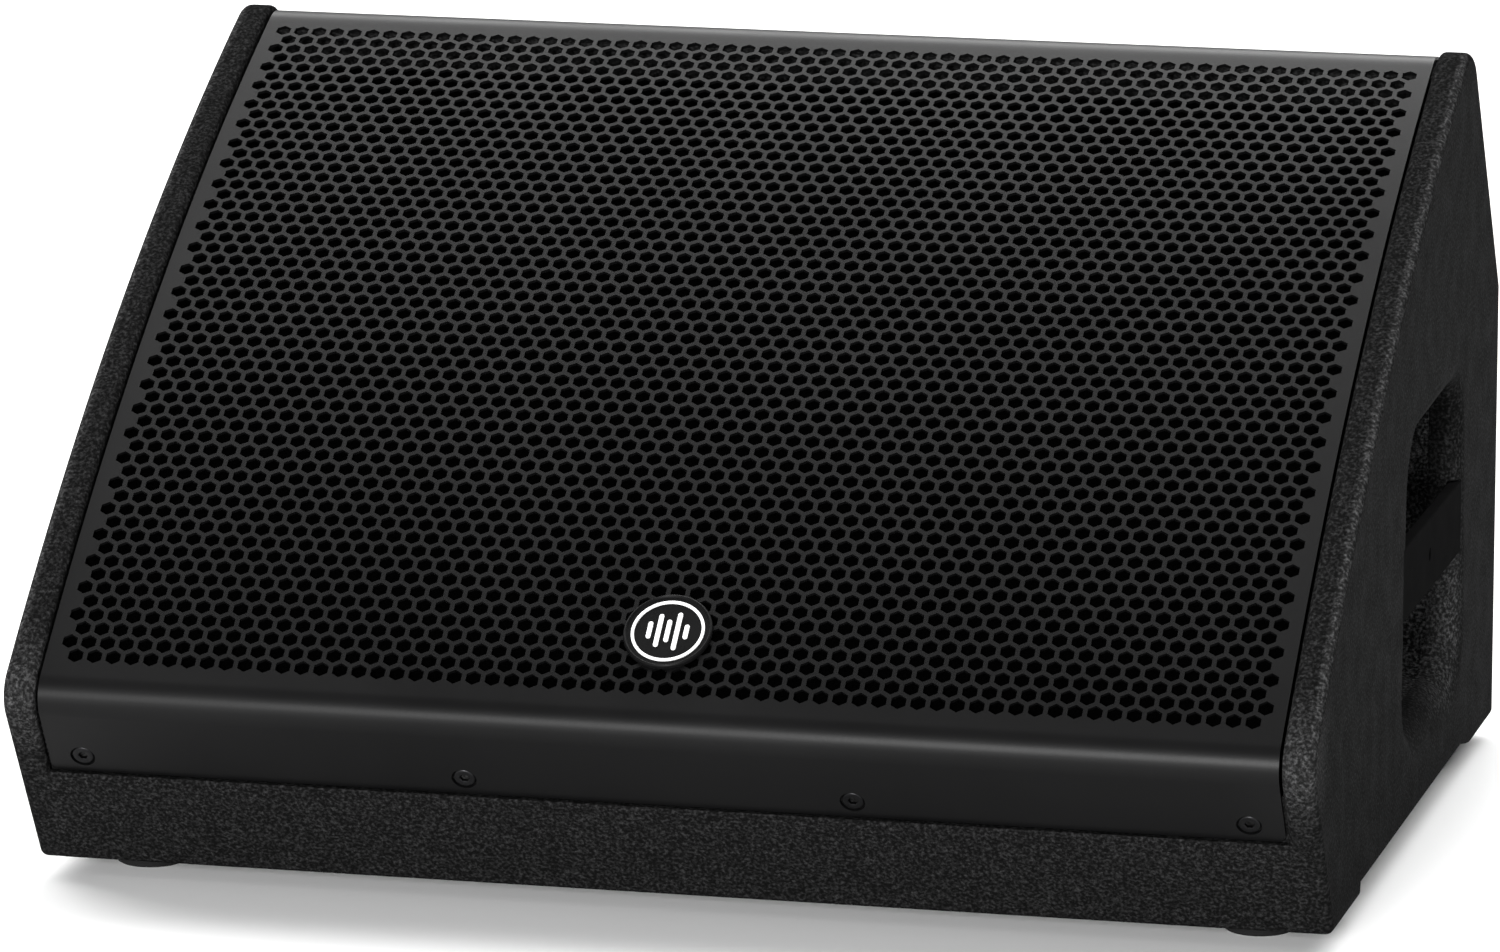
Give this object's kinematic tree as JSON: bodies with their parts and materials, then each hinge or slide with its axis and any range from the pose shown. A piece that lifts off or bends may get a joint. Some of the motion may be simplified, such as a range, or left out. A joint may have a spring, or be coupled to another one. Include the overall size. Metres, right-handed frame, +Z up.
{
  "type": "stage monitor wedge",
  "caption": "Floor monitor loudspeaker wedge with a curved perforated steel grille, recessed side grab bars, rubber feet, a coaxial driver and a rear amplifier panel.",
  "frame": {"origin": "on the floor plane, under the middle of the cabinet's box", "axes": "+X across the width, +Y to the rear, +Z up; the audience side faces -Y and the grille faces up and to -Y"},
  "size_m": [0.6, 0.4829, 0.35],
  "materials": {
    "cabinet_paint": "fine textured black coating on plywood",
    "grille_coat": "smooth satin black powder coat",
    "bar_coat": "satin black",
    "black_screw": "black oxide",
    "grille_foam": "open-cell foam, matt black",
    "rubber": "matt",
    "badge_black": "glossy black",
    "badge_face": "pale print on black",
    "pocket_coat": "fine textured black",
    "cast_frame": "black die casting",
    "magnet": "dark ceramic",
    "zinc_steel": "zinc plated",
    "cone_paper": "doped paper",
    "suspension": "treated cloth",
    "coil": "wound former",
    "black_plastic": "fine moulded grain",
    "gloss_black": "polished",
    "plate_coat": "satin black",
    "anodised": "black anodised",
    "lamp": "clear green",
    "circuit": "solder mask"
  },
  "bodies": {
    "cabinet": {"side_panel_left": "cabinet_paint", "side_panel_right": "cabinet_paint", "kick_board": "cabinet_paint", "bottom_board": "cabinet_paint", "rear_board": "cabinet_paint", "rear_slope_board": "cabinet_paint", "baffle_board": "cabinet_paint", "top_rail": "cabinet_paint", "grille": "grille_coat", "grille_foam": "grille_foam", "grille_screw_1": "black_screw", "grille_screw_2": "black_screw", "grille_screw_3": "black_screw", "grille_screw_4": "black_screw", "driver_screw_1": "black_screw", "driver_screw_2": "black_screw", "driver_screw_3": "black_screw", "driver_screw_4": "black_screw", "badge_base": "badge_black", "badge_face": "badge_face", "grab_pocket_left": "pocket_coat", "grab_pocket_right": "pocket_coat", "grab_bar_left": "bar_coat", "grab_bar_right": "bar_coat", "foot_1": "rubber", "foot_2": "rubber", "foot_3": "rubber", "foot_4": "rubber", "driver_gasket": "rubber", "surround": "rubber", "foot_screw_1": "zinc_steel", "foot_screw_2": "zinc_steel", "foot_screw_3": "zinc_steel", "foot_screw_4": "zinc_steel", "top_plate": "zinc_steel", "pole_yoke": "zinc_steel", "power_supply": "zinc_steel", "driver_basket": "cast_frame", "compression_driver": "cast_frame", "magnet": "magnet", "spider": "suspension", "hf_horn": "black_plastic", "port_tube_left": "black_plastic", "port_tube_right": "black_plastic", "input_socket": "black_plastic", "link_socket": "black_plastic", "mains_inlet": "black_plastic", "switch_bezel": "black_plastic", "amp_plate": "plate_coat", "heatsink": "anodised", "status_lamp": "lamp", "amp_card": "circuit"},
    "cone_assembly": {"cone": "cone_paper", "voice_coil": "coil"},
    "level_knob": {"level_knob": "black_plastic"},
    "trim_knob": {"trim_knob": "black_plastic"},
    "mode_button": {"mode_button": "black_plastic"},
    "input_latch": {"input_latch": "zinc_steel"},
    "power_rocker": {"power_rocker": "gloss_black"}
  },
  "joints": [
    {"name": "cone_travel", "type": "slide", "parent": "cabinet", "child": "cone_assembly", "axis": [0, -0.5479, 0.8365], "range_m": [-0.006, 0.006], "stiffness_N_per_m": 2500, "deforming": ["surround", "spider"]},
    {"name": "level_turn", "type": "hinge", "parent": "cabinet", "child": "level_knob", "pos_m": [0, 0.2262, 0.11], "axis": [0, 1, 0], "range_deg": [-150, 150]},
    {"name": "trim_turn", "type": "hinge", "parent": "cabinet", "child": "trim_knob", "pos_m": [0.036, 0.2262, 0.11], "axis": [0, 1, 0], "range_deg": [-150, 150]},
    {"name": "mode_press", "type": "slide", "parent": "cabinet", "child": "mode_button", "axis": [0, -1, 0], "range_m": [0, 0.0015], "stiffness_N_per_m": 400},
    {"name": "latch_press", "type": "slide", "parent": "cabinet", "child": "input_latch", "axis": [0, -1, 0], "range_m": [0, 0.0015], "stiffness_N_per_m": 500},
    {"name": "power_rock", "type": "hinge", "parent": "cabinet", "child": "power_rocker", "pos_m": [0.112, 0.2247, 0.092], "axis": [1, 0, 0], "range_deg": [-16, 0]}
  ]
}
